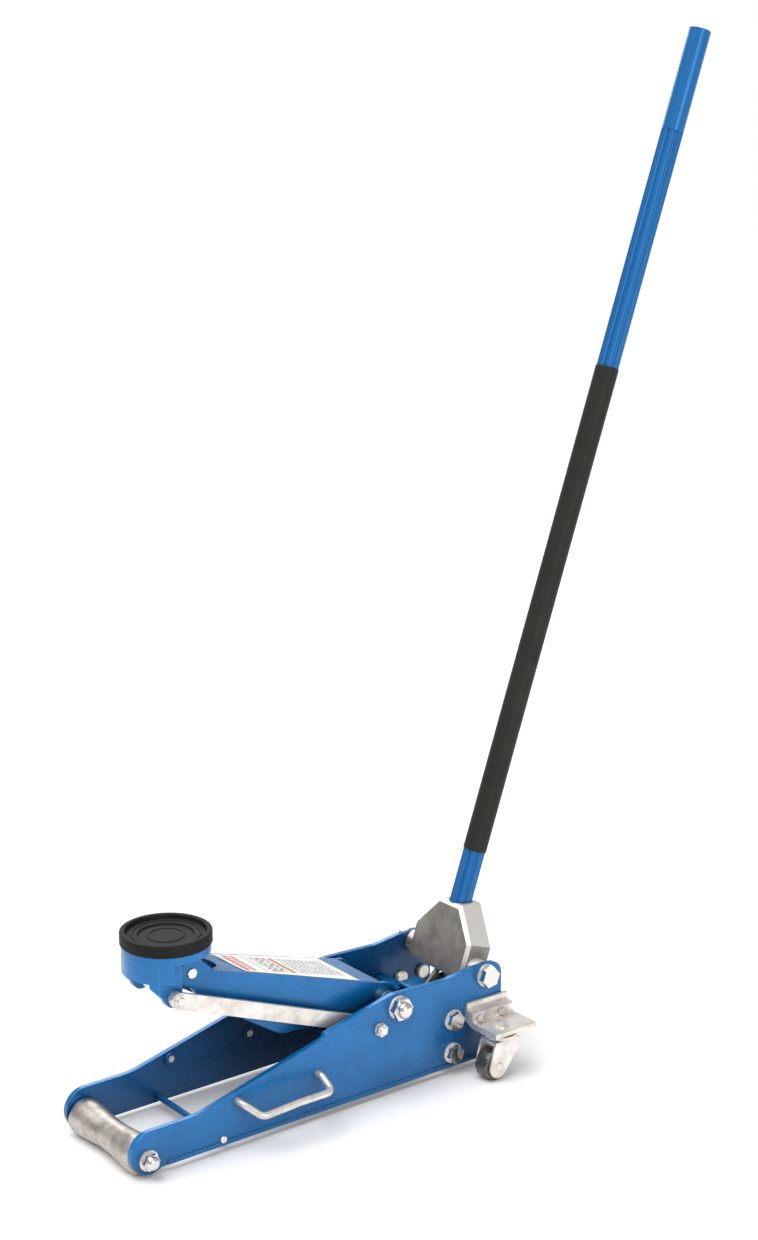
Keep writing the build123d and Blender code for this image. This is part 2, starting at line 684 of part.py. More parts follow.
# ---------------------------------------------------------------- saddle
ear_in, ear_out = 28.0, 36.0
cup_top = pad_top - pad_h
with BuildPart() as saddle_bracket:
    with BuildSketch(Plane.XY.offset(216.5)):
        with Locations((pad_x, 0)):
            Circle(cup_r)
    extrude(amount=cup_top - 216.5)
    # curved front skirt
    with BuildSketch(Plane.XY.offset(195)):
        with Locations((pad_x, 0)):
            Circle(cup_r - 0.6)
            Circle(cup_r - 7.5, mode=Mode.SUBTRACT)
        with Locations((pad_x + 32, 0)):
            Rectangle(100, 120, mode=Mode.SUBTRACT)
    extrude(amount=22)
    # two ears for the cross rod
    for y in (ear_out, -ear_in):
        with BuildSketch(lying((0, 0), y)):
            with BuildLine():
                tip = ThreePointArc((rod_pin[0] + 10.6, rod_pin[1] + 3), (rod_pin[0] - 0.5, rod_pin[1] - 11),
                                    (rod_pin[0] - 11, rod_pin[1] - 2))
                Polyline(tip @ 1, (fx + 28, 196), (fx + 28, 217), (fx + 69, 217), tip @ 0)
            make_face()
        extrude(amount=ear_out - ear_in)
    with BuildSketch(Plane.XY.offset(150)):
        with Locations((pad_x, 0)):
            Circle(cup_r)
    extrude(amount=cup_top - 150, mode=Mode.INTERSECT)
    # two lugs for the saddle pin, inside the arm's cheeks
    for y in (24.6, -14.6):
        with BuildSketch(lying((0, 0), y)):
            with BuildLine():
                low = ThreePointArc((saddle_pin_at[0] - 12.6, saddle_pin_at[1] + 3),
                                    (saddle_pin_at[0], saddle_pin_at[1] - 13),
                                    (saddle_pin_at[0] + 12.6, saddle_pin_at[1] + 3))
                Polyline(low @ 1, (saddle_pin_at[0] + 17, 217), (saddle_pin_at[0] - 20, 217), low @ 0)
            make_face()
        extrude(amount=10)
    with BuildSketch(lying(saddle_pin_at, 60)):
        Circle(6.03)
    extrude(amount=120, mode=Mode.SUBTRACT)
    with BuildSketch(lying(rod_pin, 60)):
        Circle(5.03)
    extrude(amount=120, mode=Mode.SUBTRACT)
save("saddle_bracket", saddle_bracket.part)

with BuildPart() as saddle_pad:
    with BuildSketch(Plane.XY.offset(cup_top)):
        with Locations((pad_x, 0)):
            Circle(pad_r)
    extrude(amount=pad_h)
    fillet(edges().filter_by(GeomType.CIRCLE).sort_by(Axis.Z)[-1], 1.5)
    with BuildSketch(Plane.XY.offset(pad_top - 4.6)):
        with Locations((pad_x, 0)):
            Circle(43.5)
    extrude(amount=5, mode=Mode.SUBTRACT)
    with BuildSketch(Plane.XY.offset(pad_top - 6.6)):
        with Locations((pad_x, 0)):
            Circle(30)
    extrude(amount=3, mode=Mode.SUBTRACT)
save("saddle_pad", saddle_pad.part)

with BuildPart() as saddle_pin:
    with BuildSketch(lying(saddle_pin_at, 32.6)):
        Circle(6)
    extrude(amount=65.2)
    chamfer(edges().filter_by(GeomType.CIRCLE), 0.7)
save("saddle_pin", saddle_pin.part)

rod_end = bar_front + bar_t / 2 + 4.0
with BuildPart() as link_rod:
    with BuildSketch(lying(rod_pin, rod_end)):
        Circle(5)
    extrude(amount=2 * rod_end)
    chamfer(edges().filter_by(GeomType.CIRCLE), 0.6)
save("link_rod", link_rod.part)

with BuildPart() as link_spacers:
    with BuildSketch(lying(rod_pin, -ear_out - 0.1)):
        Circle(8.4)
        Circle(5.05, mode=Mode.SUBTRACT)
    extrude(amount=bar_front - bar_t / 2 - 0.2 - ear_out)
    mirror(about=Plane.XZ)
save("link_spacers", link_spacers.part)

with BuildPart() as link_clips:
    with BuildSketch(lying(rod_pin, -bar_front - bar_t / 2 - 0.3)):
        Circle(7.2)
        Circle(5.04, mode=Mode.SUBTRACT)
        with Locations((6, -2)):
            Rectangle(8, 5.4, rotation=-20, mode=Mode.SUBTRACT)
    extrude(amount=1.2)
    mirror(about=Plane.XZ)
save("link_clips", link_clips.part)

# ---------------------------------------------------------------- handle socket
back = Vector(cos(radians(tilt)), 0, -sin(radians(tilt)))
along = Vector(sin(radians(tilt)), 0, cos(radians(tilt)))
pivot = Vector(socket_pin[0], 0, socket_pin[1])
handle_plane = Plane(pivot + back * handle_off, x_dir=back, z_dir=along)
front_face, rear_face = -19.0, 16.0
front_plane = Plane(pivot + back * front_face, x_dir=(0, 1, 0), z_dir=back)
half_top, half_side = 13.5, 50.0
with BuildPart() as handle_socket:
    with BuildSketch(front_plane):
        with BuildLine():
            Polyline((-half_top, 72), (-half_side, 28), (-half_side, -9), (-half_side + 7, -15.5),
                     (half_side - 7, -15.5), (half_side, -9), (half_side, 28), (half_top, 72),
                     close=True)
        make_face()
    extrude(amount=rear_face - front_face)
    # sloped top, higher at the back
    with BuildSketch(Plane.XZ.offset(-60)):
        with BuildLine():
            cut = [pivot + back * d + along * h
                   for d, h in ((-30, 62.5), (8, 72.0), (30, 72.0), (30, 90), (-30, 90))]
            Polyline(*[(v.X, v.Z) for v in cut], close=True)
        make_face()
    extrude(amount=120, mode=Mode.SUBTRACT)
    chamfer(faces().sort_by(lambda f: f.center().dot(back))[0].edges(), 4.0)
    # round bosses that carry the pivot bolts
    for y in (plate_in - 0.3, -half_side + 1):
        with BuildSketch(lying(socket_pin, y)):
            Circle(14)
        extrude(amount=plate_in - 0.3 - half_side + 1)
    # lobes that press the pump pistons
    lobe = (socket_pin[0] + 13.2, socket_pin[1] - 31.9)
    for y in (pump_y + 4.5, -pump_y + 4.5):
        with BuildSketch(lying((0, 0), y)):
            with Locations(lobe):
                Circle(6.9)
            with BuildLine():
                Polyline((lobe[0] - 4.4, lobe[1] + 5.2), (socket_pin[0] + 2, socket_pin[1] - 12),
                         (socket_pin[0] + 17, socket_pin[1] - 14), (lobe[0] + 6.8, lobe[1] - 1),
                         close=True)
            make_face()
        extrude(amount=9)
    # bore for the handle, and the slot where the release joint works
    with BuildSketch(handle_plane.offset(12)):
        Circle(tube_r + 0.06)
    extrude(amount=70, mode=Mode.SUBTRACT)
    with BuildSketch(Plane(pivot + along * -40, x_dir=back, z_dir=along)):
        with Locations(((-14.5 + 30) / 2, 0)):
            Rectangle(44.5, 17)
    extrude(amount=52.2, mode=Mode.SUBTRACT)
    for y in (plate_in + 1, -plate_in - 1 + 40):
        with BuildSketch(lying(socket_pin, y)):
            Circle(7.05)
        extrude(amount=40, mode=Mode.SUBTRACT)
save("handle_socket", handle_socket.part)

with BuildPart() as socket_washers:
    with BuildSketch(lying(socket_pin, -plate_out)):
        Circle(13.5)
        Circle(7.15, mode=Mode.SUBTRACT)
    extrude(amount=2.5)
    mirror(about=Plane.XZ)
save("socket_washers", socket_washers.part)

with BuildPart() as socket_bolts:
    with BuildSketch(lying(socket_pin, -plate_out - 2.5)):
        RegularPolygon(11, 6, rotation=10, major_radius=False)
    extrude(amount=8.8)
    with BuildSketch(lying(socket_pin, -30)):
        Circle(7)
    extrude(amount=plate_out + 2.5 - 30)
    mirror(about=Plane.XZ)
save("socket_bolts", socket_bolts.part)

# ---------------------------------------------------------------- release joint
with BuildPart() as release_yoke:
    with BuildSketch(handle_plane.offset(13)):
        Circle(11)
    extrude(amount=16)
    with BuildSketch(handle_plane.offset(4.5)):
        Circle(4)
    extrude(amount=8.5)
save("release_yoke", release_yoke.part)

with BuildPart() as release_spindle:
    with BuildSketch(release_plane.offset(8)):
        Circle(3.5)
    extrude(amount=46)
    with BuildSketch(release_plane):
        Circle(2.9)
    extrude(amount=8)
save("release_spindle", release_spindle.part)

# ---------------------------------------------------------------- handle
flutes = 8
with BuildPart() as handle_lower_tube:
    with BuildSketch(handle_plane.offset(30)):
        Circle(tube_r)
        with PolarLocations(tube_r + 1.7, flutes, start_angle=22.5):
            Circle(2.9, mode=Mode.SUBTRACT)
        Circle(tube_r - 2.6, mode=Mode.SUBTRACT)
    extrude(amount=joint_at - 30)
save("handle_lower_tube", handle_lower_tube.part)

with BuildPart() as handle_upper_tube:
    with BuildSketch(handle_plane.offset(joint_at)):
        Circle(tube_r)
        with PolarLocations(tube_r + 1.7, 4, start_angle=45):
            Circle(2.4, mode=Mode.SUBTRACT)
    extrude(amount=handle_top - joint_at)
    with BuildSketch(handle_plane.offset(joint_at - 60)):
        Circle(tube_r - 2.7)
    extrude(amount=60)
    with BuildSketch(handle_plane.offset(joint_at - 60)):
        Circle(tube_r - 4.9)
    extrude(amount=handle_top - joint_at + 57, mode=Mode.SUBTRACT)
save("handle_upper_tube", handle_upper_tube.part)

with BuildPart() as foam_sleeve:
    with BuildSketch(handle_plane.offset(sleeve_from)):
        Circle(sleeve_r)
        Circle(tube_r + 0.05, mode=Mode.SUBTRACT)
    extrude(amount=sleeve_to - sleeve_from)
save("foam_sleeve", foam_sleeve.part)
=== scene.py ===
from math import atan2, cos, pi, radians, sin

import bmesh
import bpy
from mathutils import Matrix, Vector


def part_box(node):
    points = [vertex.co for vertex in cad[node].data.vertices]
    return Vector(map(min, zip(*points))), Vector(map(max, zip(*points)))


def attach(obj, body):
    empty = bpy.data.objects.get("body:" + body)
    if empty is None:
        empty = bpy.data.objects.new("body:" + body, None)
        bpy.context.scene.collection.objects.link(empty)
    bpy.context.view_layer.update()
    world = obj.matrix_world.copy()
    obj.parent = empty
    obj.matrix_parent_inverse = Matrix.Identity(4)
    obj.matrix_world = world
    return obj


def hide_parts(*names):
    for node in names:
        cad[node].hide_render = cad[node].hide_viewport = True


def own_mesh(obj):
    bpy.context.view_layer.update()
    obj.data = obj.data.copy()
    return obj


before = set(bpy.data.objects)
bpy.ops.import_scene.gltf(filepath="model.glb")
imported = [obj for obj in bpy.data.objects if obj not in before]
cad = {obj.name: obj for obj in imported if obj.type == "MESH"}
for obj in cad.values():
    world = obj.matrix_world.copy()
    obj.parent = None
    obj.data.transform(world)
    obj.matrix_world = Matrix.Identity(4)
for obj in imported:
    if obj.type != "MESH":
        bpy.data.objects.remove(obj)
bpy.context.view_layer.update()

# ---------------------------------------------------------------- camera
# A three-quarter view from the front left, a little above the jack, with a long lens.
camera_data = bpy.data.cameras.new("camera")
camera_data.lens = 65.27
camera_data.sensor_width = 36.0
camera = bpy.data.objects.new("camera", camera_data)
camera.location = (-1.5385, -1.9169, 1.1469)
camera.rotation_euler = (radians(75.854), 0, radians(-37.777))
bpy.context.scene.collection.objects.link(camera)
bpy.context.scene.camera = camera

# ---------------------------------------------------------------- studio
# A pale floor under a broad overhead light from the left, a large soft light in front and a
# weaker one behind that draws a bright line along the round metal.


def linear(hex_colour):
    """An sRGB hex colour as linear red, green, blue and alpha."""
    parts = [int(hex_colour[i:i + 2], 16) / 255 for i in (1, 3, 5)]
    return tuple(p / 12.92 if p <= 0.04045 else ((p + 0.055) / 1.055) ** 2.4 for p in parts) + (1.0,)


def add_node(material, kind, settings=(), **inputs):
    """Adds a shader node. settings are its own properties, inputs its sockets by name, with _ for a space."""
    made = material.node_tree.nodes.new("ShaderNode" + kind)
    for name, value in dict(settings).items():
        setattr(made, name, value)
    for name, value in inputs.items():
        socket = made.inputs[int(name[1:])] if name[1:].isdigit() else made.inputs[name.replace("_", " ")]
        if isinstance(value, bpy.types.NodeSocket):
            material.node_tree.links.new(value, socket)
        else:
            socket.default_value = value
    return made


def new_material(name):
    """An empty node material."""
    material = bpy.data.materials.new(name)
    material.use_nodes = True
    material.node_tree.nodes.clear()
    return material


floor_paper = new_material("matte_paper")
paper = add_node(floor_paper, "BsdfPrincipled", Base_Color=linear("#F7F7F7"), Roughness=0.9)
add_node(floor_paper, "OutputMaterial", Surface=paper.outputs["BSDF"])
shape = bmesh.new()
bmesh.ops.create_grid(shape, x_segments=1, y_segments=1, size=12)
floor_mesh = bpy.data.meshes.new("studio_floor")
shape.to_mesh(floor_mesh)
shape.free()
floor_mesh.materials.append(floor_paper)
floor = bpy.data.objects.new("studio_floor", floor_mesh)
bpy.context.scene.collection.objects.link(floor)

sky_data = bpy.data.lights.new("overhead", "SUN")
sky_data.energy = 2.1
sky_data.angle = radians(50)
sky = bpy.data.objects.new("overhead", sky_data)
sky.rotation_euler = (radians(-6), radians(-20), 0)
bpy.context.scene.collection.objects.link(sky)
for name, place, aim, size, power in (
        ("front", (-0.4, -3.4, 1.6), (0, 0, 0.25), 2.0, 42),
        ("back_strip", (1.2, 2.8, 2.2), (0, 0, 0.4), 1.6, 25)):
    light_data = bpy.data.lights.new(name, "AREA")
    light_data.size = size
    light_data.energy = power
    light = bpy.data.objects.new(name, light_data)
    light.location = place
    light.rotation_euler = (Vector(aim) - Vector(place)).to_track_quat("-Z", "Y").to_euler()
    bpy.context.scene.collection.objects.link(light)
world = bpy.data.worlds.new("studio")
world.use_nodes = True
ray = world.node_tree.nodes.new("ShaderNodeLightPath")
seen = world.node_tree.nodes.new("ShaderNodeMapRange")
seen.inputs["To Min"].default_value = 0.5      # light that falls on the jack
seen.inputs["To Max"].default_value = 1.0      # the white beyond the floor
backdrop = world.node_tree.nodes["Background"]
backdrop.inputs["Color"].default_value = (1, 1, 1, 1)
world.node_tree.links.new(ray.outputs["Is Camera Ray"], seen.inputs["Value"])
world.node_tree.links.new(seen.outputs["Result"], backdrop.inputs["Strength"])
bpy.context.scene.world = world
bpy.context.scene.view_settings.view_transform = "Standard"

# ---------------------------------------------------------------- painted aluminium
# The side plates, the arm, its cranks, the saddle bracket and the power unit are aluminium
# and steel sprayed with one gloss blue enamel. The paint is thin and pale on the edges, and
# has a fine orange peel and a few rubbed spots. In and around the enclosed corners it is darkened to navy by
# painted shade.


def dress(material, *nodes):
    """Gives CAD nodes this material."""
    for node in nodes:
        cad[node].data.materials.clear()
        cad[node].data.materials.append(material)


enamel = new_material("gloss_blue_enamel")
place = add_node(enamel, "TexCoord").outputs["Object"]
cloud = add_node(enamel, "TexNoise", Vector=place, Scale=14.0, Detail=5.0, Roughness=0.6)      # 70 mm drift
tint = add_node(enamel, "ValToRGB", Fac=cloud.outputs["Fac"])
tint.color_ramp.elements[0].position = 0.3
tint.color_ramp.elements[0].color = linear("#045F9E")
tint.color_ramp.elements[1].position = 0.7
tint.color_ramp.elements[1].color = linear("#0875B9")
round_edge = add_node(enamel, "Bevel", {"samples": 6}, Radius=0.0012)                          # 1.2 mm edge
geometry = add_node(enamel, "NewGeometry")
edge_dot = add_node(enamel, "VectorMath", {"operation": "DOT_PRODUCT"},
                    _0=round_edge.outputs["Normal"], _1=geometry.outputs["Normal"])
scuff = add_node(enamel, "TexNoise", Vector=place, Scale=120.0, Detail=3.0, Roughness=0.6)     # 8 mm scuffs
edge_mask = add_node(enamel, "MapRange", Value=edge_dot.outputs["Value"], From_Min=0.985,
                     From_Max=0.86, To_Min=0.0, To_Max=0.85)
edge_blue = add_node(enamel, "Mix", {"data_type": "RGBA"}, _0=edge_mask.outputs["Result"],
                     _6=tint.outputs["Color"], _7=linear("#3F93D6"))
chip = add_node(enamel, "MapRange", Value=scuff.outputs["Fac"], From_Min=0.70, From_Max=0.80, To_Max=0.6)
rubbed = add_node(enamel, "Mix", {"data_type": "RGBA"}, _0=chip.outputs["Result"],
                  _6=edge_blue.outputs[2], _7=linear("#2A7ABC"))
# Painted shade: an ambient-occlusion mask darkens the blue to navy near other parts, out to 160 mm.
corner = add_node(enamel, "AmbientOcclusion", {"samples": 8}, Distance=0.16)                   # 160 mm reach
painted_shade_mask = add_node(enamel, "MapRange", Value=corner.outputs["AO"], From_Min=0.2, From_Max=0.72,
                       To_Min=0.85, To_Max=0.0)
painted_shade_blue = add_node(enamel, "Mix", {"data_type": "RGBA"}, _0=painted_shade_mask.outputs["Result"],
                 _6=rubbed.outputs[2], _7=linear("#06294B"))
peel = add_node(enamel, "TexNoise", Vector=place, Scale=650.0, Detail=2.0)                     # 1.5 mm peel
peel_bump = add_node(enamel, "Bump", Height=peel.outputs["Fac"], Strength=0.10, Distance=0.0002,
                     Normal=round_edge.outputs["Normal"])
paint_rough = add_node(enamel, "MapRange", Value=scuff.outputs["Fac"], From_Min=0.3, From_Max=0.75,
                       To_Min=0.24, To_Max=0.34)
paint = add_node(enamel, "BsdfPrincipled", Base_Color=painted_shade_blue.outputs[2],
                 Roughness=paint_rough.outputs["Result"], Metallic=0.25, IOR=1.5,
                 Coat_Weight=0.15, Coat_Roughness=0.1, Normal=peel_bump.outputs["Normal"])
add_node(enamel, "OutputMaterial", Surface=paint.outputs["BSDF"])
dress(enamel, "side_plate_left", "side_plate_right", "lift_arm", "crank_plates", "saddle_bracket",
      "power_unit", "cylinder", "cylinder_gland", "tie_rod", "arm_pivot_spacers", "carry_handle_nuts")

# ---------------------------------------------------------------- zinc-plated steel
# Pressed links, caster brackets, forks, wire handles, washers and small fasteners are mild
# steel with bright zinc. The sheet keeps faint rolling lines, and the zinc is clouded.
zinc = new_material("bright_zinc_plate")
place = add_node(zinc, "TexCoord").outputs["Object"]
spangle = add_node(zinc, "TexNoise", Vector=place, Scale=60.0, Detail=6.0, Roughness=0.65)     # 16 mm clouds
zinc_tint = add_node(zinc, "ValToRGB", Fac=spangle.outputs["Fac"])
zinc_tint.color_ramp.elements[0].position = 0.32
zinc_tint.color_ramp.elements[0].color = linear("#CFC6BE")
zinc_tint.color_ramp.elements[1].position = 0.62
zinc_tint.color_ramp.elements[1].color = linear("#F3EEE8")
stretched = add_node(zinc, "Mapping", Vector=place, Scale=(40.0, 900.0, 900.0))                # 1 mm lines
rolled = add_node(zinc, "TexNoise", Vector=stretched.outputs["Vector"], Scale=1.0, Detail=3.0)
zinc_edge = add_node(zinc, "Bevel", {"samples": 6}, Radius=0.0006)
zinc_bump = add_node(zinc, "Bump", Height=rolled.outputs["Fac"], Strength=0.06, Distance=0.0002,
                     Normal=zinc_edge.outputs["Normal"])
zinc_rough = add_node(zinc, "MapRange", Value=spangle.outputs["Fac"], From_Min=0.3, From_Max=0.7,
                      To_Min=0.40, To_Max=0.24)
zinc_steel = add_node(zinc, "BsdfPrincipled", Base_Color=zinc_tint.outputs["Color"], Metallic=0.72,
                      Roughness=zinc_rough.outputs["Result"], Normal=zinc_bump.outputs["Normal"])
add_node(zinc, "OutputMaterial", Surface=zinc_steel.outputs["BSDF"])
dress(zinc, "caster_bracket_left", "caster_bracket_right", "caster_fork_left", "caster_fork_right",
      "caster_stems", "caster_nuts", "carry_handle_left", "carry_handle_right",
      "link_bar_left", "link_bar_right", "caster_axle_left", "caster_axle_right", "caster_bracket_bolts",
      "caster_bracket_nuts", "arm_pivot_washers", "front_axle_washers", "power_unit_washers",
      "socket_washers", "link_spacers", "link_clips", "tie_rod_screws", "link_pivot_nuts",
      "link_pivot_bolts")

# ---------------------------------------------------------------- chromed fasteners and ground pins
# The pivot nuts and large bolt heads are chromed, and the shafts, pins and ram are ground.
# They are nearly mirror smooth, with hairlines from handling.
chrome = new_material("polished_chrome")
place = add_node(chrome, "TexCoord").outputs["Object"]
hairlines = add_node(chrome, "TexNoise", Vector=place, Scale=400.0, Detail=4.0)                # 2.5 mm marks
chrome_rough = add_node(chrome, "MapRange", Value=hairlines.outputs["Fac"], From_Min=0.35, From_Max=0.7,
                        To_Min=0.08, To_Max=0.2)
chrome_edge = add_node(chrome, "Bevel", {"samples": 6}, Radius=0.0005)
chrome_steel = add_node(chrome, "BsdfPrincipled", Base_Color=linear("#E4E1DC"), Metallic=1.0,
                        Roughness=chrome_rough.outputs["Result"], Normal=chrome_edge.outputs["Normal"])
add_node(chrome, "OutputMaterial", Surface=chrome_steel.outputs["BSDF"])
dress(chrome, "arm_pivot_nuts", "front_axle_nuts", "power_unit_bolts", "socket_bolts", "arm_pivot_shaft",
      "front_axle", "saddle_pin", "link_rod", "crank_pin", "crank_roller", "ram",
      "release_yoke", "arm_sleeve")

# ---------------------------------------------------------------- handle socket
# A cast steel block that takes the handle's end. Its flat front and sides are shot-blasted to
# a grey grain, and the shoulders and chamfers are coloured near white as a painted highlight.
cast = new_material("shot_blasted_cast_steel")
place = add_node(cast, "TexCoord").outputs["Object"]
grain = add_node(cast, "TexNoise", Vector=place, Scale=700.0, Detail=3.0, Roughness=0.7)       # 1.4 mm grain
blotch = add_node(cast, "TexNoise", Vector=place, Scale=45.0, Detail=5.0, Roughness=0.65)  # 22 mm blotches
cast_tint = add_node(cast, "ValToRGB", Fac=blotch.outputs["Fac"])
cast_tint.color_ramp.elements[0].position = 0.3
cast_tint.color_ramp.elements[0].color = linear("#7B7671")
cast_tint.color_ramp.elements[1].position = 0.68
cast_tint.color_ramp.elements[1].color = linear("#A39E98")
cast_edge = add_node(cast, "Bevel", {"samples": 6}, Radius=0.0012)
facing = add_node(cast, "TexCoord").outputs["Normal"]
front_dot = add_node(cast, "VectorMath", {"operation": "DOT_PRODUCT"}, _0=facing, _1=(-0.943, 0, 0.333))
side_part = add_node(cast, "SeparateXYZ", Vector=facing)
side_dot = add_node(cast, "Math", {"operation": "ABSOLUTE"}, _0=side_part.outputs["Y"])
flat_dot = add_node(cast, "Math", {"operation": "MAXIMUM"}, _0=front_dot.outputs["Value"],
                    _1=side_dot.outputs["Value"])
# Painted highlight: faces that are neither the flat front nor the flat sides are coloured near white.
rim_highlight_mask = add_node(cast, "MapRange", Value=flat_dot.outputs["Value"], From_Min=0.97, From_Max=0.93)
painted_rim_highlight = add_node(cast, "Mix", {"data_type": "RGBA"}, _0=rim_highlight_mask.outputs["Result"],
                  _6=cast_tint.outputs["Color"], _7=linear("#E6E2DC"))
cast_bump = add_node(cast, "Bump", Height=grain.outputs["Fac"], Strength=0.35, Distance=0.0003,
                     Normal=cast_edge.outputs["Normal"])
cast_steel = add_node(cast, "BsdfPrincipled", Base_Color=painted_rim_highlight.outputs[2], Metallic=0.75, Roughness=0.5,
                      Normal=cast_bump.outputs["Normal"])
add_node(cast, "OutputMaterial", Surface=cast_steel.outputs["BSDF"])
dress(cast, "handle_socket")

# ---------------------------------------------------------------- handle tube
# A drawn aluminium tube with eight shallow flutes, anodised blue. Die lines run along it,
# and the flutes are darkened with painted shade.
tilt = radians(19.44)
handle_foot = Vector((0.04657, 0, 0.1095))
anodised = new_material("blue_anodised_aluminium")
place = add_node(anodised, "TexCoord").outputs["Object"]
along_tube = add_node(anodised, "Mapping", {"vector_type": "POINT"}, Vector=place, Rotation=(0, -tilt, 0))
die_scale = add_node(anodised, "Mapping", Vector=along_tube.outputs["Vector"], Scale=(900.0, 900.0, 6.0))
die_lines = add_node(anodised, "TexNoise", Vector=die_scale.outputs["Vector"], Scale=1.0, Detail=3.0)
dye = add_node(anodised, "ValToRGB", Fac=die_lines.outputs["Fac"])
dye.color_ramp.elements[0].position = 0.3
dye.color_ramp.elements[0].color = linear("#055FA0")
dye.color_ramp.elements[1].position = 0.7
dye.color_ramp.elements[1].color = linear("#0B70B4")
die_bump = add_node(anodised, "Bump", Height=die_lines.outputs["Fac"], Strength=0.08, Distance=0.0002)
# Painted shade: a 4 mm ambient-occlusion mask darkens the blue to navy in the flutes.
flute = add_node(anodised, "AmbientOcclusion", {"samples": 8}, Distance=0.004)                 # 4 mm flutes
flute_shade_mask = add_node(anodised, "MapRange", Value=flute.outputs["AO"], From_Min=0.72, From_Max=0.95,
                      To_Min=0.85, To_Max=0.0)
flute_painted_shade = add_node(anodised, "Mix", {"data_type": "RGBA"}, _0=flute_shade_mask.outputs["Result"],
                     _6=dye.outputs["Color"], _7=linear("#0B3B66"))
tube_metal = add_node(anodised, "BsdfPrincipled", Base_Color=flute_painted_shade.outputs[2], Metallic=0.3,
                      Roughness=0.36, Normal=die_bump.outputs["Normal"])
add_node(anodised, "OutputMaterial", Surface=tube_metal.outputs["BSDF"])
dress(anodised, "handle_lower_tube", "handle_upper_tube")

# ---------------------------------------------------------------- foam grip
# A black-green closed-cell foam sleeve, stretched over the tube. Its ends are cut square and
# rolled a little by the pull, and its skin has a fine pebble of cells.


def new_piece(name, form, material, body, slot, *stands_for, smooth=35):
    """Turns a finished bmesh into an object that rides on a body and stands for CAD nodes."""
    bmesh.ops.remove_doubles(form, verts=form.verts, dist=1e-6)
    bmesh.ops.recalc_face_normals(form, faces=form.faces)
    for face in form.faces:
        face.smooth = True
    for edge in form.edges:
        if len(edge.link_faces) == 2:
            edge.smooth = edge.calc_face_angle(0) < radians(smooth)
    mesh = bpy.data.meshes.new(name)
    form.to_mesh(mesh)
    form.free()
    mesh.materials.append(material)
    piece = bpy.data.objects.new(name, mesh)
    bpy.context.scene.collection.objects.link(piece)
    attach(piece, body)
    if stands_for:
        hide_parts(*stands_for)
    return piece


def turned(profile, steps=96):
    """A bmesh turned about Z from (radius, height) points in millimetres: a closed ring, or a path
    that starts and ends on the axis."""
    form = bmesh.new()
    ring = [form.verts.new((r / 1000, 0, z / 1000)) for r, z in profile]
    lines = [form.edges.new(pair) for pair in zip(ring, ring[1:])]
    if profile[0][0] > 0:
        lines.append(form.edges.new((ring[-1], ring[0])))
    bmesh.ops.spin(form, geom=ring + lines, axis=(0, 0, 1), cent=(0, 0, 0), angle=2 * pi, steps=steps,
                   use_merge=True)
    return form


foam = new_material("closed_cell_foam_rubber")
place = add_node(foam, "TexCoord").outputs["Object"]
cells = add_node(foam, "TexVoronoi", Vector=place, Scale=650.0)                                # 1.5 mm cells
handling = add_node(foam, "TexNoise", Vector=place, Scale=30.0, Detail=5.0)                    # 33 mm marks
foam_tint = add_node(foam, "ValToRGB", Fac=handling.outputs["Fac"])
foam_tint.color_ramp.elements[0].position = 0.3
foam_tint.color_ramp.elements[0].color = linear("#13170F")
foam_tint.color_ramp.elements[1].position = 0.7
foam_tint.color_ramp.elements[1].color = linear("#1D2217")
cell_bump = add_node(foam, "Bump", Height=cells.outputs["Distance"], Strength=0.35, Distance=0.0003)
foam_skin = add_node(foam, "BsdfPrincipled", Base_Color=foam_tint.outputs["Color"], Roughness=0.6,
                     Specular_IOR_Level=0.35, Normal=cell_bump.outputs["Normal"])
add_node(foam, "OutputMaterial", Surface=foam_skin.outputs["BSDF"])
grip = turned([(13.15, 131), (13.15, 721), (13.6, 721), (13.9, 720.4), (14.0, 719), (13.95, 712),
               (13.95, 640), (13.95, 568), (13.95, 496), (13.95, 424), (13.95, 352), (13.95, 280),
               (13.95, 208), (13.95, 140), (14.0, 133), (13.9, 131.6), (13.6, 131)], steps=64)
bmesh.ops.transform(grip, verts=grip.verts,
                    matrix=Matrix.Translation(handle_foot) @ Matrix.Rotation(tilt, 4, "Y"))
new_piece("foam_grip", grip, foam, "handle", "foam", "foam_sleeve")

# ---------------------------------------------------------------- saddle pad
# A moulded black rubber pad with a raised rim, a stepped round recess and two low rings in it
# that keep the car from sliding. Bonded into the saddle's cup.
pad_low, pad_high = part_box("saddle_pad")
pad_at = (pad_low + pad_high) / 2
pad_base = pad_low.z
rubber = new_material("moulded_rubber")
place = add_node(rubber, "TexCoord").outputs["Object"]
bloom = add_node(rubber, "TexNoise", Vector=place, Scale=55.0, Detail=6.0, Roughness=0.6)      # 18 mm bloom
rubber_tint = add_node(rubber, "ValToRGB", Fac=bloom.outputs["Fac"])
rubber_tint.color_ramp.elements[0].position = 0.35
rubber_tint.color_ramp.elements[0].color = linear("#040404")
rubber_tint.color_ramp.elements[1].position = 0.75
rubber_tint.color_ramp.elements[1].color = linear("#0A0A0B")
skin = add_node(rubber, "TexNoise", Vector=place, Scale=900.0, Detail=2.0)  # 1.1 mm texture
skin_bump = add_node(rubber, "Bump", Height=skin.outputs["Fac"], Strength=0.2, Distance=0.0002)
pad_rubber = add_node(rubber, "BsdfPrincipled", Base_Color=rubber_tint.outputs["Color"], Roughness=0.6,
                      Specular_IOR_Level=0.3, Normal=skin_bump.outputs["Normal"])
add_node(rubber, "OutputMaterial", Surface=pad_rubber.outputs["BSDF"])
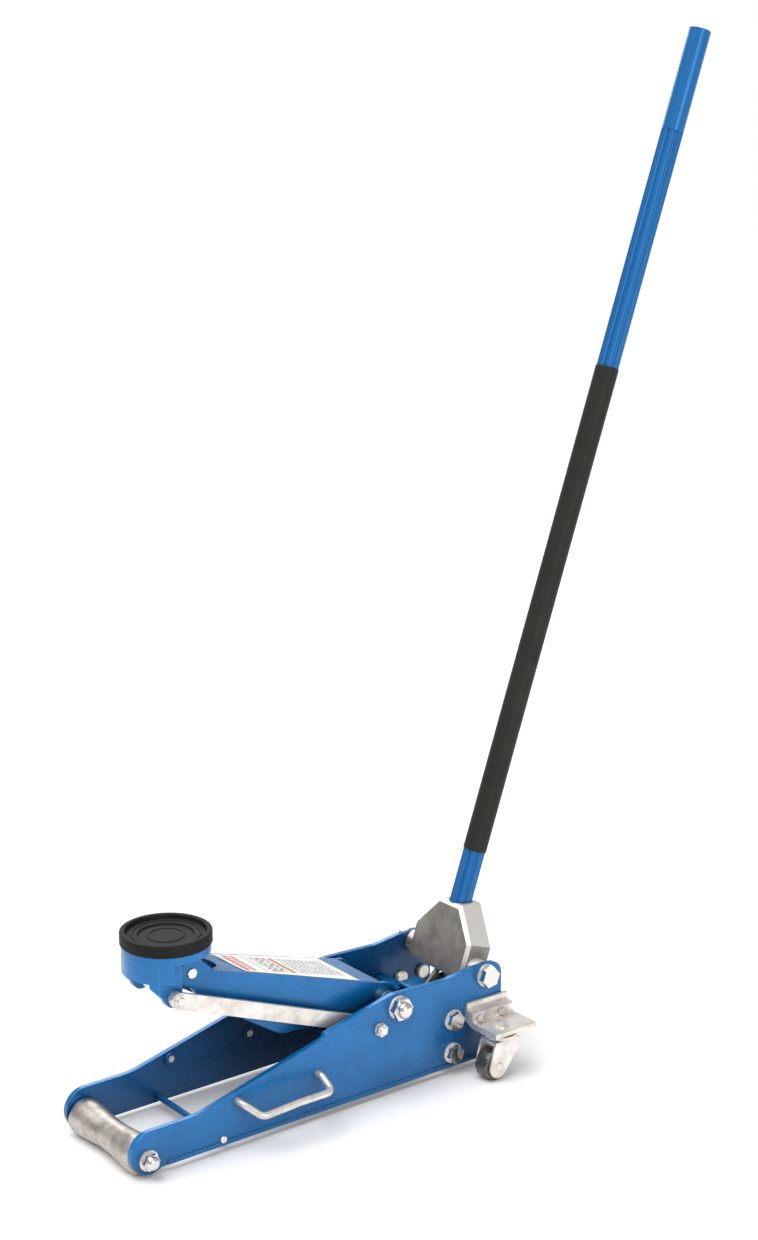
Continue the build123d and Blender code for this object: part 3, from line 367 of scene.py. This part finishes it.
pad = turned([(0, 0), (49.2, 0), (50, 0.8), (50, 12.2), (49.6, 13.2), (48.6, 13.7), (44.6, 13.7),
              (43.9, 13.3), (43.5, 12.6), (43.1, 9.6), (42.6, 9.1), (38.6, 9.1), (38.2, 9.9), (37.6, 10.1),
              (36.4, 10.1), (35.8, 9.9), (35.4, 9.1), (31, 9.1), (30.3, 8.8), (29.9, 7.6), (29.4, 7.1),
              (21, 7.1), (20.6, 7.8), (20, 8), (19, 8), (18.4, 7.8), (18, 7.1), (0, 7.1)], steps=128)
bmesh.ops.translate(pad, verts=pad.verts, vec=(pad_at.x, pad_at.y, pad_base))
new_piece("saddle_rubber", pad, rubber, "saddle", "pad_rubber", "saddle_pad")

# ---------------------------------------------------------------- front roller
# A waisted aluminium roller with bevelled ends, turned from bar on a lathe, so fine rings run
# round it. The floor has scuffed it.
axle_low, axle_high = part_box("front_roller")
axle_at = (axle_low + axle_high) / 2
roller_metal = new_material("turned_aluminium")
place = add_node(roller_metal, "TexCoord").outputs["Object"]
rings_map = add_node(roller_metal, "Mapping", Vector=place, Scale=(8.0, 1200.0, 8.0))          # 0.8 mm rings
rings = add_node(roller_metal, "TexNoise", Vector=rings_map.outputs["Vector"], Scale=1.0, Detail=3.0)
scuffs = add_node(roller_metal, "TexNoise", Vector=place, Scale=80.0, Detail=7.0, Roughness=0.7)  # 12 mm
roller_tint = add_node(roller_metal, "ValToRGB", Fac=scuffs.outputs["Fac"])
roller_tint.color_ramp.elements[0].position = 0.3
roller_tint.color_ramp.elements[0].color = linear("#9A938C")
roller_tint.color_ramp.elements[1].position = 0.65
roller_tint.color_ramp.elements[1].color = linear("#D3CDC6")
ring_bump = add_node(roller_metal, "Bump", Height=rings.outputs["Fac"], Strength=0.18, Distance=0.0002)
turned_skin = add_node(roller_metal, "BsdfPrincipled", Base_Color=roller_tint.outputs["Color"], Metallic=1.0,
                       Roughness=0.42, Normal=ring_bump.outputs["Normal"])
add_node(roller_metal, "OutputMaterial", Surface=turned_skin.outputs["BSDF"])
roller_half = [(6.05, 61.5), (18.6, 61.5), (19.7, 61.1), (20.4, 60.4), (20.6, 59.4), (20.6, 51), (20.3, 46),
               (19.7, 39), (18.9, 31), (18.0, 22), (17.3, 12), (17.05, 4)]
drum = turned(roller_half + [(r, -y) for r, y in reversed(roller_half)], steps=96)
bmesh.ops.rotate(drum, verts=drum.verts, cent=(0, 0, 0), matrix=Matrix.Rotation(pi / 2, 3, "X"))
bmesh.ops.translate(drum, verts=drum.verts, vec=axle_at)
new_piece("roller_drum", drum, roller_metal, "front_roller", "roller_aluminium", "front_roller")

# ---------------------------------------------------------------- caster wheels
# Small cast iron wheels, turned on the tread and oiled dark, with a dished hub on each side.
# The pump's pistons and the release spindle carry the same dark oil film; inside the chassis its darkness is
# also painted shade.
iron = new_material("oiled_cast_iron")
place = add_node(iron, "TexCoord").outputs["Object"]
cast_grain = add_node(iron, "TexNoise", Vector=place, Scale=500.0, Detail=4.0)                 # 2 mm grain
iron_tint = add_node(iron, "ValToRGB", Fac=cast_grain.outputs["Fac"])
iron_tint.color_ramp.elements[0].position = 0.3
iron_tint.color_ramp.elements[0].color = linear("#4A4643")
iron_tint.color_ramp.elements[1].position = 0.7
iron_tint.color_ramp.elements[1].color = linear("#7D7873")
iron_bump = add_node(iron, "Bump", Height=cast_grain.outputs["Fac"], Strength=0.2, Distance=0.0002)
iron_skin = add_node(iron, "BsdfPrincipled", Base_Color=iron_tint.outputs["Color"], Metallic=0.9,
                     Roughness=0.4, Normal=iron_bump.outputs["Normal"])
add_node(iron, "OutputMaterial", Surface=iron_skin.outputs["BSDF"])
dress(iron, "pump_pistons", "release_spindle")
wheel_half = [(3.05, 10), (6.3, 10), (6.7, 9.6), (7.1, 7.4), (7.8, 7.0), (12.2, 7.0), (12.8, 7.5),
              (13.2, 9.6), (13.8, 10), (16, 10), (17.3, 9.2), (18, 7.8), (18, 2.6)]
for side in ("left", "right"):
    hub_low, hub_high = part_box("caster_wheel_" + side)
    wheel = turned(wheel_half + [(r, -y) for r, y in reversed(wheel_half)], steps=64)
    bmesh.ops.rotate(wheel, verts=wheel.verts, cent=(0, 0, 0), matrix=Matrix.Rotation(pi / 2, 3, "X"))
    bmesh.ops.translate(wheel, verts=wheel.verts, vec=(hub_low + hub_high) / 2)
    new_piece("caster_tyre_" + side, wheel, iron, "caster_wheel_" + side, "caster_iron",
              "caster_wheel_" + side)

# ---------------------------------------------------------------- springs
# Coils of hard-drawn wire under an oil film. Real return springs stretch as the arm rises.
# The springs take the same dark oiled iron; inside the chassis its darkness is also painted shade.
for node, joint, fixed_end, keep in (("pump_springs", "handle_pump", 0, 0.06),
                                     ("return_springs", "arm_lift", 1, 0.5)):
    coil = bmesh.new()
    coil.from_mesh(cad[node].data)
    wound = new_piece(node.replace("springs", "coils"), coil, iron, "chassis", "zinc_steel", node)
    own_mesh(wound)

# ---------------------------------------------------------------- arm label
# A printed polyester film on the arm's top plate. It carries only made-up marks: a black rule,
# a row of slanted red dashes, some black bars, an orange bar, and rows of small grey blocks.
label_low, label_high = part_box("arm_label")
label_length = 0.160
front_half_width = 0.030
front_slant = 0.0068
front_drop = 0.0021
print_half_width = 0.0265
film_clearance = 0.00015
film = new_material("printed_polyester_film")
sheet_place = add_node(film, "UVMap")
sheet_xyz = add_node(film, "SeparateXYZ", Vector=sheet_place.outputs["UV"])
skewed = add_node(film, "Math", {"operation": "MULTIPLY_ADD"}, _0=sheet_xyz.outputs["Y"], _1=0.6,
                  _2=sheet_xyz.outputs["X"])
skew_place = add_node(film, "CombineXYZ", X=skewed.outputs["Value"], Y=sheet_xyz.outputs["Y"])
dashes = add_node(film, "TexBrick", Vector=skew_place.outputs["Vector"], Color1=linear("#C8182C"),
                  Color2=linear("#B3122A"), Mortar=linear("#F4F3F0"), Scale=1.0, Mortar_Size=0.0012,
                  Brick_Width=0.0085, Row_Height=0.020)
bars = add_node(film, "TexBrick", Vector=sheet_place.outputs["UV"], Color1=linear("#242424"),
                Color2=linear("#F4F3F0"), Mortar=linear("#F4F3F0"), Scale=1.0, Mortar_Size=0.0009,
                Brick_Width=0.009, Row_Height=0.0045, Bias=-0.35)
rows = add_node(film, "TexBrick", Vector=sheet_place.outputs["UV"], Color1=linear("#55565A"),
                Color2=linear("#DDDDDB"), Mortar=linear("#F4F3F0"), Scale=1.0, Mortar_Size=0.0006,
                Brick_Width=0.0052, Row_Height=0.0029, Bias=-0.2)
along_label = add_node(film, "MapRange", Value=sheet_xyz.outputs["Y"], From_Min=0.0,
                       From_Max=label_length)
zone_marks = []
for start, stop in ((0.06, 0.17), (0.30, 0.46), (0.545, 0.95), (0.47, 0.515), (0.015, 0.027), (0.25, 0.257)):
    zone = add_node(film, "ValToRGB", Fac=along_label.outputs["Result"])
    zone.color_ramp.interpolation = "CONSTANT"
    zone.color_ramp.elements[0].color = (0, 0, 0, 1)
    zone.color_ramp.elements[1].position = start
    zone.color_ramp.elements[1].color = (1, 1, 1, 1)
    zone.color_ramp.elements.new(stop).color = (0, 0, 0, 1)
    zone_marks.append(zone.outputs["Color"])
printed = linear("#F4F3F0")
for mark, ink in zip(zone_marks, (dashes.outputs["Color"], bars.outputs["Color"], rows.outputs["Color"],
                                  linear("#C9761E"), linear("#1B1B1B"), linear("#1B1B1B"))):
    printed = add_node(film, "Mix", {"data_type": "RGBA"}, _0=mark, _6=printed, _7=ink).outputs[2]
across = add_node(film, "Math", {"operation": "ABSOLUTE"}, _0=sheet_xyz.outputs["X"])
inside = add_node(film, "Math", {"operation": "LESS_THAN"}, _0=across.outputs["Value"],
                  _1=print_half_width)
face_print = add_node(film, "Mix", {"data_type": "RGBA"}, _0=inside.outputs["Value"],
                      _6=linear("#F4F3F0"), _7=printed)
film_skin = add_node(film, "BsdfPrincipled", Base_Color=face_print.outputs[2], Roughness=0.3)
add_node(film, "OutputMaterial", Surface=film_skin.outputs["BSDF"])
slope = atan2(label_high.z - label_low.z, label_high.x - label_low.x)
sheet = bmesh.new()
front_left = Vector((label_low.x + front_slant, -front_half_width, label_high.z - front_drop))
front_right = Vector((label_low.x, front_half_width, label_high.z))
rear_left = Vector((label_high.x, label_low.y, label_low.z))
rear_right = Vector((label_high.x, label_high.y, label_low.z))
lift = Vector((sin(slope), 0, cos(slope))) * film_clearance
corners = [sheet.verts.new(point + lift) for point in (front_left, rear_left, rear_right, front_right)]
sheet.faces.new(corners)
bmesh.ops.subdivide_edges(sheet, edges=sheet.edges, cuts=7, use_grid_fill=True)
grid = sheet.loops.layers.uv.new("print")
for face in sheet.faces:
    for loop in face.loops:
        offset = loop.vert.co - front_right
        loop[grid].uv = (loop.vert.co.y, offset.x / cos(slope))
new_piece("arm_print", sheet, film, "lift_arm", "label_film", "arm_label")
